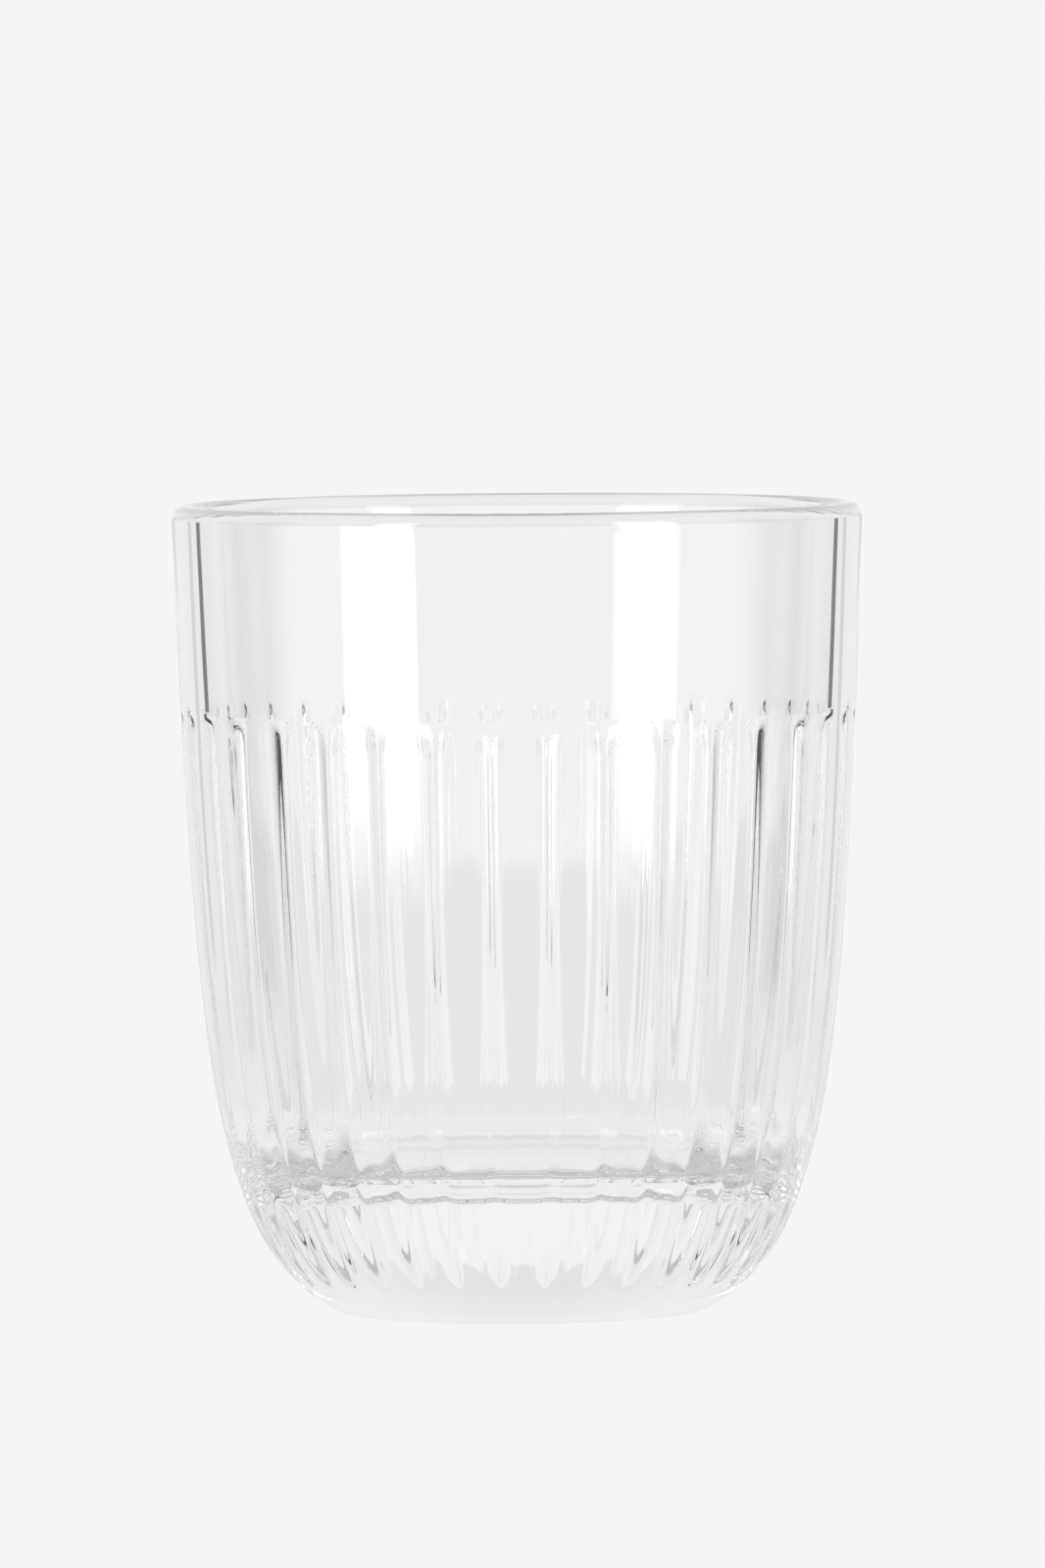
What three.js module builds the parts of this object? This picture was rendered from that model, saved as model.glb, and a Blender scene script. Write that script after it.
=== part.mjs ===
// Ribbed water glass: one piece of clear pressed glass, in millimetres, +Z up.
// It stands on z = 0 with its axis on Z, and is open at the top.
import * as THREE from 'three';

// Driving dimensions
const height = 94; // table to lip
const rimDiameter = 80; // across the outside, under the lip
const rimWall = 3.1; // wall at the rim, whose lip is fully round
const rimLean = 2; // degrees that the wall leans outward at the rim
const wallSweep = 65.3; // pull of the rim's lean on the wall's curve below it
const footDiameter = 40.2; // flat face that the glass stands on
const heelAngle = 21.6; // degrees that the heel climbs where it leaves the foot
const heelSweep = 16.7; // pull of the heel's angle on the wall's curve above it
const floorThickness = 15.4; // solid glass under the cavity
const floorCorner = 10; // setback of the rounding between cavity floor and wall
const lowerWall = 4; // wall at the top of that rounding, on a rib
const smoothBand = 23.8; // plain band from the lip down to the tops of the valleys
const valleyFoot = 3.2; // height where the valleys between the ribs run out on the heel
const valleyFootRun = 16; // height over which a valley thins to its lower end
const valleyTopRun = 2.6; // height of the rounding at a valley's upper end
const valleyDepth = 0.65; // deepest cut between two ribs, square to the wall
const ribFlatness = 5; // power that keeps a rib's crown broad and the valleys narrow
const ribCount = 36;

// Facets
const ribStations = [0, 0.12, 0.35, 1, 1.65, 1.88]; // from a valley, in half ribs
const heelStep = 0.05; // steps along the outer curve, from the foot and further up
const wallStep = 0.1;
const heelSteps = 9;
const valleyTopSteps = 5;
const innerColumns = 2 * ribCount; // one in each valley and one on each rib's crown
const lipSteps = 6;
const innerWallSteps = 6;
const cornerSteps = 6;

const lipRadius = rimWall / 2;
const lipHeight = height - lipRadius;
const rimRadius = rimDiameter / 2;
const footRadius = footDiameter / 2;
const pitchAngle = (2 * Math.PI) / ribCount;
const valleyTop = height - smoothBand;
const cornerTop = floorThickness + floorCorner;

// The outer wall is one curve from the edge of the foot to the lip
function outerWallCurve() {
  const heel = THREE.MathUtils.degToRad(heelAngle);
  const lean = THREE.MathUtils.degToRad(rimLean);
  return new THREE.CubicBezierCurve(
    new THREE.Vector2(footRadius, 0),
    new THREE.Vector2(footRadius + heelSweep * Math.cos(heel), heelSweep * Math.sin(heel)),
    new THREE.Vector2(rimRadius - wallSweep * Math.sin(lean), lipHeight - wallSweep * Math.cos(lean)),
    new THREE.Vector2(rimRadius, lipHeight),
  );
}

const outerWall = outerWallCurve();

// Place along the outer curve, from 0 to 1, that lies at a height
function placeAtHeight(z) {
  let low = 0;
  let high = 1;
  for (let halving = 0; halving < 40; halving += 1) {
    const middle = (low + high) / 2;
    if (outerWall.getPoint(middle).y < z) {
      low = middle;
    } else {
      high = middle;
    }
  }
  return (low + high) / 2;
}

// Depth below the plain wall at a station across a rib, 0 to 2, and a height
function valleyCut(station, z) {
  const towardsValley = Math.abs(station - 1);
  const intoTop = Math.max(0, (z - (valleyTop - valleyTopRun)) / valleyTopRun);
  const intoFoot = Math.max(0, (valleyFoot + valleyFootRun - z) / valleyFootRun);
  const fade = Math.max(0, 1 - intoTop ** 2) * Math.max(0, 1 - intoFoot ** 2);
  return valleyDepth * towardsValley ** ribFlatness * fade;
}

// One ring of the outer wall, rib after rib, each from its valley over its crown
function outerRing(place) {
  const point = outerWall.getPoint(place);
  const tangent = outerWall.getTangent(place);
  const ring = [];
  for (let rib = 0; rib < ribCount; rib += 1) {
    for (const station of ribStations) {
      const angle = (rib + (station - 1) / 2) * pitchAngle;
      const cut = valleyCut(station, point.y);
      const radius = point.x - cut * tangent.y;
      const level = point.y + cut * tangent.x;
      ring.push(new THREE.Vector3().setFromCylindricalCoords(radius, angle, level));
    }
  }
  return ring;
}

// Places of the outer rings, close together on the heel and at the tops of the valleys
function outerPlaces() {
  const topStart = placeAtHeight(valleyTop - valleyTopRun);
  const places = [];
  for (let step = 0; step < heelSteps; step += 1) {
    places.push(step * heelStep);
  }
  const heelEnd = heelSteps * heelStep;
  const wallSteps = Math.max(1, Math.round((topStart - heelEnd) / wallStep));
  for (let step = 0; step < wallSteps; step += 1) {
    places.push(THREE.MathUtils.lerp(heelEnd, topStart, step / wallSteps));
  }
  for (let step = 0; step <= valleyTopSteps; step += 1) {
    const rise = Math.sin((step / valleyTopSteps) * (Math.PI / 2));
    places.push(placeAtHeight(valleyTop - valleyTopRun * (1 - rise)));
  }
  places.push(1);
  return places;
}

// The inner wall follows the outer one, with a wall that thickens evenly from the rim down
function innerWallPoint(z) {
  const wall = THREE.MathUtils.mapLinear(z, lipHeight, cornerTop, rimWall, lowerWall);
  return new THREE.Vector2(outerWall.getPoint(placeAtHeight(z)).x - wall, z);
}

// The inside: over the round lip, down the inner wall, round the corner to the floor
function innerProfile() {
  const profile = [];
  for (let step = 1; step < lipSteps; step += 1) {
    const turn = (step / lipSteps) * Math.PI;
    profile.push(new THREE.Vector2(
      rimRadius - lipRadius + lipRadius * Math.cos(turn),
      lipHeight + lipRadius * Math.sin(turn),
    ));
  }
  for (let step = 0; step < innerWallSteps; step += 1) {
    profile.push(innerWallPoint(THREE.MathUtils.lerp(lipHeight, cornerTop, step / innerWallSteps)));
  }
  const low = innerWallPoint(cornerTop);
  const taper = low.x - innerWallPoint(cornerTop - 1).x; // inward per millimetre down
  const sharpCorner = new THREE.Vector2(low.x - taper * floorCorner, floorThickness);
  const floorEdge = new THREE.Vector2(sharpCorner.x - floorCorner, floorThickness);
  const corner = new THREE.QuadraticBezierCurve(low, sharpCorner, floorEdge);
  return profile.concat(corner.getPoints(cornerSteps));
}

function innerRing(point) {
  const ring = [];
  for (let column = 0; column < innerColumns; column += 1) {
    const angle = (column / innerColumns) * 2 * Math.PI - pitchAngle / 2;
    ring.push(new THREE.Vector3().setFromCylindricalCoords(point.x, angle, point.y));
  }
  return ring;
}

// Joins two rings whose counts divide evenly, the finer ring first
function joinRings(faces, fine, coarse) {
  const share = fine.length / coarse.length;
  for (let column = 0; column < coarse.length; column += 1) {
    const next = (column + 1) % coarse.length;
    const middle = column * share + Math.floor(share / 2);
    for (let step = 0; step < share; step += 1) {
      const here = column * share + step;
      const after = (here + 1) % fine.length;
      faces.push([fine[here], fine[after], here < middle ? coarse[column] : coarse[next]]);
      if (here === middle) {
        faces.push([fine[here], coarse[next], coarse[column]]);
      }
    }
  }
}

function closeRing(faces, ring, centre, facingUp) {
  ring.forEach((point, column) => {
    const next = ring[(column + 1) % ring.length];
    faces.push(facingUp ? [point, next, centre] : [next, point, centre]);
  });
}

function glassGeometry() {
  const outer = outerPlaces().map(outerRing);
  const inner = innerProfile().map(innerRing);
  const rings = outer.concat(inner);
  const faces = [];
  closeRing(faces, rings[0], new THREE.Vector3(0, 0, 0), false);
  for (let level = 0; level + 1 < rings.length; level += 1) {
    joinRings(faces, rings[level], rings[level + 1]);
  }
  closeRing(faces, rings.at(-1), new THREE.Vector3(0, floorThickness, 0), true);
  const geometry = new THREE.BufferGeometry().setFromPoints(faces.flat());
  geometry.rotateX(Math.PI / 2);
  geometry.computeVertexNormals();
  return geometry;
}

const clearGlass = new THREE.MeshStandardMaterial({
  color: 0xf4f7f6,
  roughness: 0.03,
  metalness: 0,
  transparent: true,
  opacity: 0.35,
});

const tumbler = new THREE.Mesh(glassGeometry(), clearGlass);
tumbler.name = 'tumbler';

const glass = new THREE.Group();
glass.add(tumbler);

export default glass;
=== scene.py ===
# Ribbed water glass: the fine glass surface, a pale studio and the photograph's camera.
import math

import bpy
import numpy as np
from mathutils import Matrix, Vector


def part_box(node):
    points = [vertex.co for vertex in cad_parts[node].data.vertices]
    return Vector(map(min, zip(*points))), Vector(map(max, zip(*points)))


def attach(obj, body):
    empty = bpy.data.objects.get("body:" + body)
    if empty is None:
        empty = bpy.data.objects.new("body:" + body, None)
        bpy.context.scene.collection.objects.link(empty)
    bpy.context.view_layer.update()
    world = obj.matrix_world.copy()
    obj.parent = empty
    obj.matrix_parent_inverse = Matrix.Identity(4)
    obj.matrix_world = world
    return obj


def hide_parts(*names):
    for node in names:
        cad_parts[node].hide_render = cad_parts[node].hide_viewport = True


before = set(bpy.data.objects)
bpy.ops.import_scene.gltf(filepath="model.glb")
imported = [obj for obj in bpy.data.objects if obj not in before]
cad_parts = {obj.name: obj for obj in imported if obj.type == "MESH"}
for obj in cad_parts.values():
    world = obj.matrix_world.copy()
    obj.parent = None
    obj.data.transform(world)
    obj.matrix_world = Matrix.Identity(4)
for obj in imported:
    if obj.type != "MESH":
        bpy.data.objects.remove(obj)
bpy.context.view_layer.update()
cadLow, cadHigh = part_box("tumbler")
rimRadius = (cadHigh[0] - cadLow[0]) / 2
glassHeight = cadHigh[2] - cadLow[2]
wideMm = round(rimRadius * 2000, 1)
highMm = round(glassHeight * 1000, 1)
print("frame loaded:", *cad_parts, wideMm, "mm wide and", highMm, "mm high")

# metres, and degrees for angles
tumblerGlass = {
    "rimWall": 0.0031,  # the lip is a half circle of this width
    "rimLean": 2.0,  # outward, where the wall meets the lip
    "wallSweep": 0.0653,  # pull of that lean on the wall's curve
    "footRadius": 0.0201,
    "heelAngle": 21.6,  # climb of the heel where it leaves the foot
    "heelSweep": 0.0167,  # pull of that climb on the wall's curve
    "floorThickness": 0.0154,
    "floorCorner": 0.010,  # setback of the rounding between floor and wall
    "lowerWall": 0.004,  # wall where the floor's rounding begins
    "smoothBand": 0.0238,  # plain glass from the lip down to the valleys' tops
    "ribCount": 36,
    "valleyDepth": 0.0005,
    "ribFlatness": 8.0,  # power that keeps the crowns broad and the valleys narrow
    "valleyRound": 0.0002,  # rounding at the bottom of a valley
    "heelFlatness": 3.0,  # the same two at the valleys' feet, where they open out
    "heelRound": 0.0008,
    "heelRise": 0.046,  # height over which the valleys close up
    "topRise": 0.0045,  # they open again over this height below their tops
    "topOpening": 0.5,  # by this share of the way to the shape at their feet
    "valleyTopRun": 0.0026,  # height of the rounding at a valley's top
    "valleyFoot": 0.0032,  # height where the valleys run out on the heel
    "valleyFootRun": 0.016,  # height over which they thin out
    "footEase": 0.0008,  # setback of the rounding at the foot's edge
    "creaseRow": 0.00004,  # rows this close keep a crease crisp
    "columnsPerRib": 32,
    "columnCrowding": 0.6,  # 0 spaces the columns evenly, towards 1 crowds them in the valleys
    "footRings": (0.3, 0.6, 0.9),  # shares of the flat foot's radius
    "floorRings": (0.75, 0.5, 0.25),  # shares of the cavity floor's radius
    "footEaseRows": 9,
    "heelRows": 8,
    "valleyFootRows": 20,
    "wallRows": 90,
    "valleyTopRows": 22,
    "bandRows": 12,
    "lipRows": 33,
    "innerWallRows": 40,
    "cornerRows": 49,
    "curveSamples": 4001,
    "nudge": 1e-4,  # small step for the outer surface's slopes
    "taperStep": 0.0002,  # and for the inner wall's
    "lipMargin": 0.001,  # the inner wall's slope is read at least this far below the lip
}
lipRadius = tumblerGlass["rimWall"] / 2
lipHeight = glassHeight - lipRadius  # the walls end here and the lip's half circle begins
valleyTop = glassHeight - tumblerGlass["smoothBand"]


def unit(vectors):
    return vectors / np.linalg.norm(vectors, axis=-1)[..., None]


def smoothStep(share):
    share = np.clip(share, 0, 1)
    return share * share * (3 - 2 * share)


def bezierPoints(corners, places):
    t = np.asarray(places)[:, None]
    a, b, c, d = [np.array(corner) for corner in corners]
    return (1 - t) ** 3 * a + 3 * (1 - t) ** 2 * t * b + 3 * (1 - t) * t**2 * c + t**3 * d


def bezierTangents(corners, places):
    t = np.asarray(places)[:, None]
    a, b, c, d = [np.array(corner) for corner in corners]
    return unit((1 - t) ** 2 * (b - a) + 2 * (1 - t) * t * (c - b) + t**2 * (d - c))


def outerCorners(sizes):
    heel = math.radians(sizes["heelAngle"])
    lean = math.radians(sizes["rimLean"])
    foot, heelSweep, wallSweep = sizes["footRadius"], sizes["heelSweep"], sizes["wallSweep"]
    return [
        (foot, 0),
        (foot + heelSweep * math.cos(heel), heelSweep * math.sin(heel)),
        (rimRadius - wallSweep * math.sin(lean), lipHeight - wallSweep * math.cos(lean)),
        (rimRadius, lipHeight),
    ]


def ribAngles(sizes, turns):
    # turns counts the ribs, with a valley at each whole number, and a rib's crown faces the front
    return (turns - 0.5) * 2 * math.pi / sizes["ribCount"]


def turned(radii, heights, angles):
    return np.stack([radii * np.sin(angles), -radii * np.cos(angles), heights + 0 * angles], -1)


def valleyCut(sizes, radius, height, turns):
    # depth below the plain wall
    half = radius * math.pi / sizes["ribCount"]
    part = turns % 1
    fromValley = np.minimum(part, 1 - part) * 2 * half
    closed = smoothStep((height - sizes["valleyFoot"]) / sizes["heelRise"])
    flare = smoothStep((height - valleyTop) / sizes["topRise"] + 1)
    closed = closed * (1 - sizes["topOpening"] * flare)
    roundness = sizes["heelRound"] + (sizes["valleyRound"] - sizes["heelRound"]) * closed
    flatness = sizes["heelFlatness"] + (sizes["ribFlatness"] - sizes["heelFlatness"]) * closed
    softened = np.sqrt(fromValley**2 + roundness**2) - roundness
    intoTop = np.maximum(0, (height - valleyTop) / sizes["valleyTopRun"] + 1)
    intoFoot = np.maximum(0, (sizes["valleyFoot"] - height) / sizes["valleyFootRun"] + 1)
    fade = np.maximum(0, 1 - intoTop**2) * np.maximum(0, 1 - intoFoot**2)
    return sizes["valleyDepth"] * np.clip(1 - softened / half, 0, 1) ** flatness * fade


def ribbedWall(sizes, corners, places, turns):
    # one row for each place up the outer curve, one column for each turn round it
    points = bezierPoints(corners, places)[:, None, :]
    tangents = bezierTangents(corners, places)[:, None, :]
    cut = valleyCut(sizes, points[..., 0], points[..., 1], turns[None, :])
    radii = points[..., 0] - cut * tangents[..., 1]
    heights = points[..., 1] + cut * tangents[..., 0]
    return turned(radii, heights, ribAngles(sizes, turns))


def easedPlace(sizes, corners):
    # place up the outer curve where the eased edge of the foot ends
    return sizes["footEase"] / np.linalg.norm(np.array(corners[1]) - corners[0]) / 3


def wallPlaces(sizes, corners):
    # rows up the outside, close together where the valleys begin and end
    finePlaces = np.linspace(0, 1, sizes["curveSamples"])
    fineHeights = bezierPoints(corners, finePlaces)[:, 1]

    def placeAt(height):
        return np.interp(height, fineHeights, finePlaces)

    valleyFoot, crease = sizes["valleyFoot"], sizes["creaseRow"]
    heelEnd = placeAt(valleyFoot + sizes["valleyFootRun"])
    topStart = valleyTop - sizes["valleyTopRun"]
    topRise = np.sin(np.linspace(0, math.pi / 2, sizes["valleyTopRows"]))
    return np.concatenate([
        np.linspace(easedPlace(sizes, corners), placeAt(valleyFoot - crease), sizes["heelRows"]),
        np.linspace(placeAt(valleyFoot), heelEnd, sizes["valleyFootRows"], endpoint=False),
        np.linspace(heelEnd, placeAt(topStart), sizes["wallRows"], endpoint=False),
        placeAt(topStart + sizes["valleyTopRun"] * topRise),
        np.linspace(placeAt(valleyTop + crease), 1, sizes["bandRows"]),
    ])


def wallSurface(sizes, corners, turns):
    places = wallPlaces(sizes, corners)
    nudge = sizes["nudge"]

    def wall(placeShift, turnShift):
        return ribbedWall(sizes, corners, places + placeShift, turns + turnShift)

    along = wall(nudge, 0) - wall(-nudge, 0)
    across = wall(0, nudge) - wall(0, -nudge)
    return wall(0, 0), unit(np.cross(across, along))


def roundedRows(start, corner, end, shares):
    # a rounded corner between two straight stretches, as rows of a profile
    rows = []
    for t in shares:
        point = (1 - t) ** 2 * start + 2 * (1 - t) * t * corner + t**2 * end
        slope = (1 - t) * (corner - start) + t * (end - corner)
        rows.append((point[0], point[1], slope[1], -slope[0]))
    return rows


def footRows(sizes, corners):
    # the flat foot and its eased edge
    flatEdge = np.array((sizes["footRadius"] - sizes["footEase"], 0))
    wallStart = bezierPoints(corners, [easedPlace(sizes, corners)])[0]
    rows = [(flatEdge[0] * share, 0, 0, -1) for share in sizes["footRings"]]
    shares = np.linspace(0, 1, sizes["footEaseRows"])[:-1]
    return rows + roundedRows(flatEdge, np.array(corners[0]), wallStart, shares)


def insideRows(sizes, corners):
    # over the lip, down a wall that thickens, round the corner to the floor
    fineCurve = bezierPoints(corners, np.linspace(0, 1, sizes["curveSamples"]))
    rimWall, lowerWall = sizes["rimWall"], sizes["lowerWall"]
    floorHeight, floorCorner = sizes["floorThickness"], sizes["floorCorner"]
    cornerTop = floorHeight + floorCorner

    def innerRadius(height):
        share = (lipHeight - height) / (lipHeight - cornerTop)
        outerRadius = np.interp(height, fineCurve[:, 1], fineCurve[:, 0])
        return outerRadius - rimWall - (lowerWall - rimWall) * share

    def innerTaper(height):
        step = sizes["taperStep"]
        return (innerRadius(height + step) - innerRadius(height - step)) / (2 * step)

    rows = []
    lipCentre = rimRadius - lipRadius
    for turn in np.linspace(0, math.pi, sizes["lipRows"])[1:-1]:
        outward, upward = math.cos(turn), math.sin(turn)
        rows.append((lipCentre + lipRadius * outward, lipHeight + lipRadius * upward, outward, upward))
    for height in np.linspace(lipHeight, cornerTop, sizes["innerWallRows"], endpoint=False):
        taper = innerTaper(min(height, lipHeight - sizes["lipMargin"]))
        rows.append((innerRadius(height), height, -1, taper))
    wallEnd = np.array((innerRadius(cornerTop), cornerTop))
    sharpCorner = np.array((wallEnd[0] - innerTaper(cornerTop) * floorCorner, floorHeight))
    floorEdge = sharpCorner - np.array((floorCorner, 0))
    rows += roundedRows(wallEnd, sharpCorner, floorEdge, np.linspace(0, 1, sizes["cornerRows"]))
    return rows + [(floorEdge[0] * share, floorHeight, 0, 1) for share in sizes["floorRings"]]


def turnedRows(sizes, profile, turns):
    # profile rows are radius, height and the two parts of the surface's normal
    angles = ribAngles(sizes, turns)
    radius, height, outward, upward = np.array(profile).T[:, :, None]
    return turned(radius, height, angles), unit(turned(outward, upward, angles))


def ringFaces(rows, columns):
    # quads between neighbouring rows, and fans to the middles of the foot and the cavity's floor
    row = np.arange(rows - 1)[:, None] * columns
    above = row + columns
    here = np.arange(columns)[None, :]
    after = (here + 1) % columns
    quads = np.stack(np.broadcast_arrays(row + here, row + after, above + after, above + here), -1)
    faces = quads.reshape(-1, 4).tolist()
    footCentre = rows * columns
    floorCentre = footCentre + 1
    lastRow = (rows - 1) * columns
    for column in range(columns):
        nextColumn = (column + 1) % columns
        faces.append((nextColumn, column, footCentre))
        faces.append((lastRow + column, lastRow + nextColumn, floorCentre))
    return faces


def buildTumbler(sizes):
    columns = sizes["ribCount"] * sizes["columnsPerRib"]
    steps = np.arange(columns) / sizes["columnsPerRib"]
    turns = steps - sizes["columnCrowding"] * np.sin(2 * math.pi * steps) / (2 * math.pi)
    corners = outerCorners(sizes)
    footPoints, footNormals = turnedRows(sizes, footRows(sizes, corners), turns)
    wallPoints, wallNormals = wallSurface(sizes, corners, turns)
    insidePoints, insideNormals = turnedRows(sizes, insideRows(sizes, corners), turns)
    points = np.concatenate([footPoints, wallPoints, insidePoints])
    normals = np.concatenate([footNormals, wallNormals, insideNormals])
    centres = [(0, 0, 0), (0, 0, sizes["floorThickness"])]
    vertices = np.concatenate([points.reshape(-1, 3), centres])
    vertexNormals = np.concatenate([normals.reshape(-1, 3), [(0, 0, -1), (0, 0, 1)]])
    mesh = bpy.data.meshes.new("tumbler_glass")
    mesh.from_pydata(vertices.tolist(), [], ringFaces(len(points), columns))
    mesh.polygons.foreach_set("use_smooth", [True] * len(mesh.polygons))
    mesh.normals_split_custom_set_from_vertices(vertexNormals.tolist())
    tumbler = bpy.data.objects.new("tumbler_glass", mesh)
    bpy.context.collection.objects.link(tumbler)
    return tumbler


tumbler = buildTumbler(tumblerGlass)
print("tumbler built,", len(tumbler.data.vertices), "vertices")

# clear pressed glass: the faint ripple and drag of the mould on a fire-polished skin
clearGlass = {
    "tint": (0.996, 0.996, 0.996, 1),
    "tintDeep": (0.990, 0.990, 0.990, 1),
    "ior": 1.5,
    "driftScale": 30.0,
    "driftDetail": 2.0,
    "polish": (0.0, 0.012),  # roughness of clean and of handled glass
    "hazeScale": 240.0,
    "hazeDetail": 4.0,
    "hazeFrom": (0.5, 0.8),  # part of the noise that shows as haze
    "rippleScale": 90.0,
    "rippleDetail": 1.0,
    "rippleStrength": 0.010,
    "rippleDistance": 0.0004,
}


def glassMaterial(finish):
    material = bpy.data.materials.new("clear_glass")
    material.use_nodes = True
    tree = material.node_tree
    shader = tree.nodes["Principled BSDF"]
    shader.inputs["Transmission Weight"].default_value = 1
    shader.inputs["IOR"].default_value = finish["ior"]
    place = tree.nodes.new("ShaderNodeTexCoord")

    def noise(scale, detail):
        node = tree.nodes.new("ShaderNodeTexNoise")
        node.inputs["Scale"].default_value = scale
        node.inputs["Detail"].default_value = detail
        tree.links.new(place.outputs["Object"], node.inputs["Vector"])
        return node.outputs["Fac"]

    tint = tree.nodes.new("ShaderNodeMix")  # slow drift of the tint
    tint.data_type = "RGBA"
    tint.inputs["A"].default_value = finish["tint"]
    tint.inputs["B"].default_value = finish["tintDeep"]
    tree.links.new(noise(finish["driftScale"], finish["driftDetail"]), tint.inputs["Factor"])
    tree.links.new(tint.outputs["Result"], shader.inputs["Base Color"])

    haze = tree.nodes.new("ShaderNodeMapRange")  # fine haze from handling
    haze.inputs["From Min"].default_value = finish["hazeFrom"][0]
    haze.inputs["From Max"].default_value = finish["hazeFrom"][1]
    haze.inputs["To Min"].default_value = finish["polish"][0]
    haze.inputs["To Max"].default_value = finish["polish"][1]
    tree.links.new(noise(finish["hazeScale"], finish["hazeDetail"]), haze.inputs["Value"])
    tree.links.new(haze.outputs["Result"], shader.inputs["Roughness"])

    ripple = tree.nodes.new("ShaderNodeBump")
    ripple.inputs["Strength"].default_value = finish["rippleStrength"]
    ripple.inputs["Distance"].default_value = finish["rippleDistance"]
    tree.links.new(noise(finish["rippleScale"], finish["rippleDetail"]), ripple.inputs["Height"])
    tree.links.new(ripple.outputs["Normal"], shader.inputs["Normal"])
    return material


tumbler.data.materials.append(glassMaterial(clearGlass))
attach(tumbler, "root")
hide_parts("tumbler")
print("glass material set")

# pale studio: a bright backdrop with dark flags beside it, two softboxes and an oval white table
# angles are degrees from straight behind the glass, round to the right, and above the level
# each panel is painted over the ones before it, and edge is the softness of its outline
studio = {
    "paleGrey": 0.913,  # what the camera sees behind and under the glass
    "room": 0.04,  # light where there is no panel
    "panels": {
        "ceiling": {"left": -190, "right": 190, "low": 42, "high": 100, "edge": 6.0, "light": 0.54},
        "upper walls": {"left": -190, "right": 190, "low": -4, "high": 44, "edge": 1.5, "light": 0.45},
        "side walls": {"left": -62, "right": 62, "low": -90, "high": 42, "edge": 3.0, "light": 0.75},
        "left front": {"left": -190, "right": -90, "low": -90, "high": 42, "edge": 3.0, "light": 0.8},
        "right front": {"left": 90, "right": 190, "low": -90, "high": 42, "edge": 3.0, "light": 0.8},
        "left screen": {"left": -118, "right": -88, "low": -90, "high": 5, "edge": 8.0, "light": 1.0},
        "right screen": {"left": 88, "right": 118, "low": -90, "high": 5, "edge": 8.0, "light": 0.9},
        "flags": {"left": -39, "right": 39, "low": -6.2, "high": -1.5, "edge": 0.4, "light": 0.02},
        "backdrop": {"left": -35.5, "right": 35.5, "low": -90, "high": 42, "edge": 0.5, "light": 0.84},
        "backdrop's middle": {"left": -18, "right": 18, "low": -90, "high": 40, "edge": 9.0, "light": 0.91},
        "left softbox": {"left": -143, "right": -118.5, "low": -9.3, "high": 4, "edge": 0.8, "light": 4.0},
        "right softbox": {"left": 125.5, "right": 141, "low": -9.3, "high": 4, "edge": 0.8, "light": 4.0},
        "studio floor": {"left": -190, "right": 190, "low": -100, "high": -11, "edge": 0.7, "light": 0.85},
    },
    "tableNear": 0.86,  # light of the table round the glass, and further out
    "tableFar": 0.8,
    "farFrom": 0.12,  # how far out the table starts to darken, and where it has
    "farReach": 0.4,
    "footShade": 0.2,  # share of the light beside the foot
    "shadeReach": 0.06,
    "tableDrop": 0.05,  # how far the table lies below the middle of the glass
    "tableAcross": 0.2,  # half widths of its oval top
    "tableBehind": 0.83,
    "tableBefore": 0.25,
    "tableEdge": 0.015,
    "leastFall": 1e-5,  # a ray that falls less than this goes over the table
    "floorSize": 30.0,
    "floorDrop": 0.0002,  # keeps the floor just clear of the foot
    "bounces": 32,
}


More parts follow.
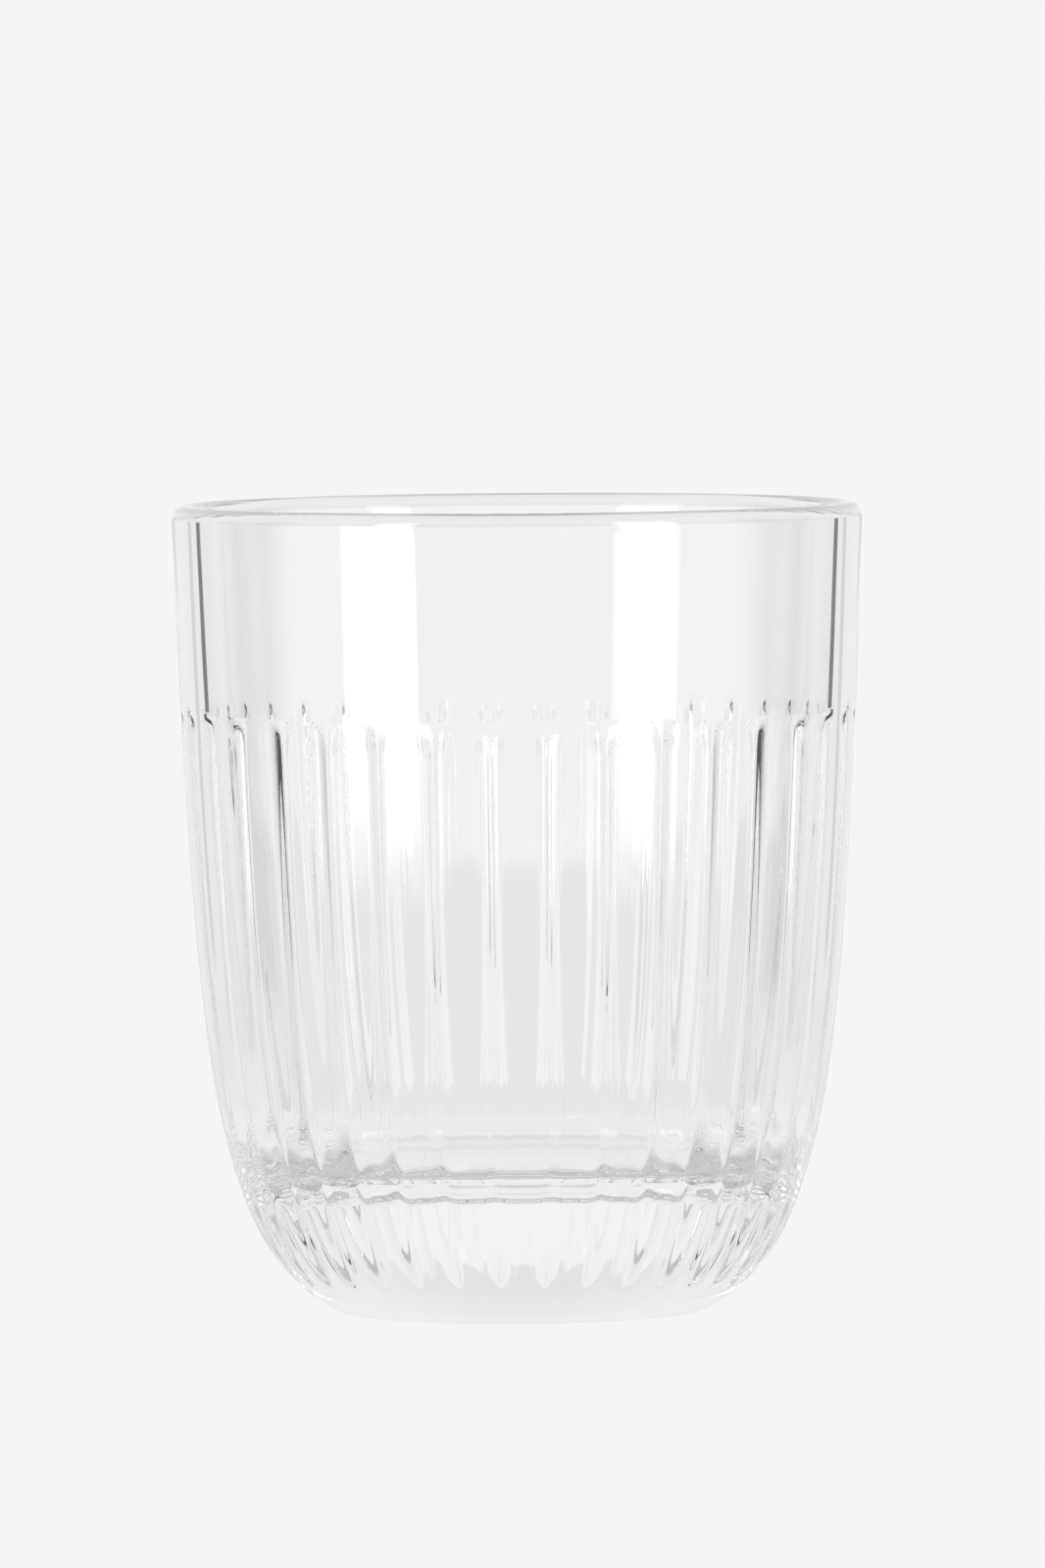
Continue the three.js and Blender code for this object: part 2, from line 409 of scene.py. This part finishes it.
def studioWorld(setup):
    world = bpy.data.worlds.new("studio")
    world.use_nodes = True
    tree = world.node_tree
    tree.nodes.clear()

    def maths(operation, *values):
        node = tree.nodes.new("ShaderNodeMath")
        node.operation = operation
        for socket, value in zip(node.inputs, values):
            if isinstance(value, (int, float)):
                socket.default_value = value
            else:
                tree.links.new(value, socket)
        return node.outputs[0]

    def rise(value, low, high):
        node = tree.nodes.new("ShaderNodeMapRange")
        node.interpolation_type = "SMOOTHSTEP"
        node.inputs["From Min"].default_value = low
        node.inputs["From Max"].default_value = high
        tree.links.new(value, node.inputs["Value"])
        return node.outputs["Result"]

    def between(value, low, high, edge):
        fall = maths("SUBTRACT", 1.0, rise(value, high - edge, high + edge))
        return maths("MULTIPLY", rise(value, low - edge, low + edge), fall)

    def blend(share, inside, outside):
        rest = maths("SUBTRACT", 1.0, share)
        return maths("ADD", maths("MULTIPLY", share, inside), maths("MULTIPLY", rest, outside))

    def farness(aside, ahead):
        return maths("SQRT", maths("ADD", maths("POWER", aside, 2.0), maths("POWER", ahead, 2.0)))

    place = tree.nodes.new("ShaderNodeTexCoord")
    split = tree.nodes.new("ShaderNodeSeparateXYZ")
    tree.links.new(place.outputs["Generated"], split.inputs[0])
    east, north, up = split.outputs
    around = maths("DEGREES", maths("ARCTAN2", east, north))
    above = maths("DEGREES", maths("ARCSINE", up))
    light = setup["room"]
    for panel in setup["panels"].values():
        within = between(around, panel["left"], panel["right"], panel["edge"])
        inside = maths("MULTIPLY", within, between(above, panel["low"], panel["high"], panel["edge"]))
        light = blend(inside, panel["light"], light)

    # where a ray that goes down meets the table
    fall = maths("MAXIMUM", maths("MULTIPLY", up, -1.0), setup["leastFall"])
    reach = maths("DIVIDE", setup["tableDrop"], fall)
    aside = maths("MULTIPLY", east, reach)
    ahead = maths("MULTIPLY", north, reach)
    behind = maths("DIVIDE", ahead, setup["tableBehind"])
    before = maths("DIVIDE", ahead, -setup["tableBefore"])
    toEdge = farness(maths("DIVIDE", aside, setup["tableAcross"]), maths("MAXIMUM", behind, before))
    onTable = maths("SUBTRACT", 1.0, rise(toEdge, 1 - setup["tableEdge"], 1 + setup["tableEdge"]))
    distance = farness(aside, ahead)
    further = rise(distance, setup["farFrom"], setup["farReach"])
    tableLight = blend(further, setup["tableFar"], setup["tableNear"])
    shade = blend(rise(distance, 0.0, setup["shadeReach"]), 1.0, setup["footShade"])
    light = blend(onTable, maths("MULTIPLY", shade, tableLight), light)

    path = tree.nodes.new("ShaderNodeLightPath")
    background = tree.nodes.new("ShaderNodeBackground")
    output = tree.nodes.new("ShaderNodeOutputWorld")
    seen = blend(path.outputs["Is Camera Ray"], setup["paleGrey"], light)
    tree.links.new(seen, background.inputs["Color"])
    tree.links.new(background.outputs[0], output.inputs[0])
    return world


def paleFloor(setup):
    half = setup["floorSize"] / 2
    mesh = bpy.data.meshes.new("studio_floor")
    corners = [(-half, -half, 0), (half, -half, 0), (half, half, 0), (-half, half, 0)]
    mesh.from_pydata(corners, [], [(0, 1, 2, 3)])
    floor = bpy.data.objects.new("studio_floor", mesh)
    floor.location.z = -setup["floorDrop"]
    bpy.context.collection.objects.link(floor)
    material = bpy.data.materials.new("pale_floor")
    material.use_nodes = True
    tree = material.node_tree
    tree.nodes.clear()
    grey = setup["paleGrey"]
    glow = tree.nodes.new("ShaderNodeEmission")  # lit evenly, as a light table is
    glow.inputs["Color"].default_value = (grey, grey, grey, 1)
    clear = tree.nodes.new("ShaderNodeBsdfTransparent")
    side = tree.nodes.new("ShaderNodeNewGeometry")
    mix = tree.nodes.new("ShaderNodeMixShader")  # seen from above only
    output = tree.nodes.new("ShaderNodeOutputMaterial")
    tree.links.new(side.outputs["Backfacing"], mix.inputs["Fac"])
    tree.links.new(glow.outputs[0], mix.inputs[1])
    tree.links.new(clear.outputs[0], mix.inputs[2])
    tree.links.new(mix.outputs[0], output.inputs["Surface"])
    mesh.materials.append(material)
    floor.visible_glossy = False
    floor.visible_transmission = False
    floor.visible_diffuse = False
    return floor


scene = bpy.context.scene
scene.world = studioWorld(studio)
paleFloor(studio)
scene.view_settings.view_transform = "Standard"
scene.cycles.max_bounces = studio["bounces"]
scene.cycles.transmission_bounces = studio["bounces"]
scene.cycles.glossy_bounces = studio["bounces"]
print("studio lit")

# long lens, slightly above the glass
shot = {
    "lens": 515.3,
    "sensorWidth": 36,
    "distance": 2.6,
    "azimuth": -0.2,
    "aside": 0.00044,  # the glass stands a little left of the picture's middle
    "height": 0.174,
    "aimHeight": 0.0614,
    "roll": -0.4,
    "clipEnd": 100,
}


def studioCamera(view):
    data = bpy.data.cameras.new("camera")
    data.lens = view["lens"]
    data.sensor_width = view["sensorWidth"]
    data.clip_end = view["clipEnd"]
    camera = bpy.data.objects.new("camera", data)
    bpy.context.collection.objects.link(camera)
    turn = Matrix.Rotation(math.radians(view["azimuth"]), 3, "Z")
    place = turn @ Vector((view["aside"], -view["distance"], view["height"]))
    aim = turn @ Vector((view["aside"], 0, view["aimHeight"]))
    roll = Matrix.Rotation(math.radians(view["roll"]), 3, "Z")
    look = (aim - place).to_track_quat("-Z", "Y").to_matrix() @ roll
    camera.matrix_world = Matrix.Translation(place) @ look.to_4x4()
    return camera


scene.camera = studioCamera(shot)
print("camera placed")
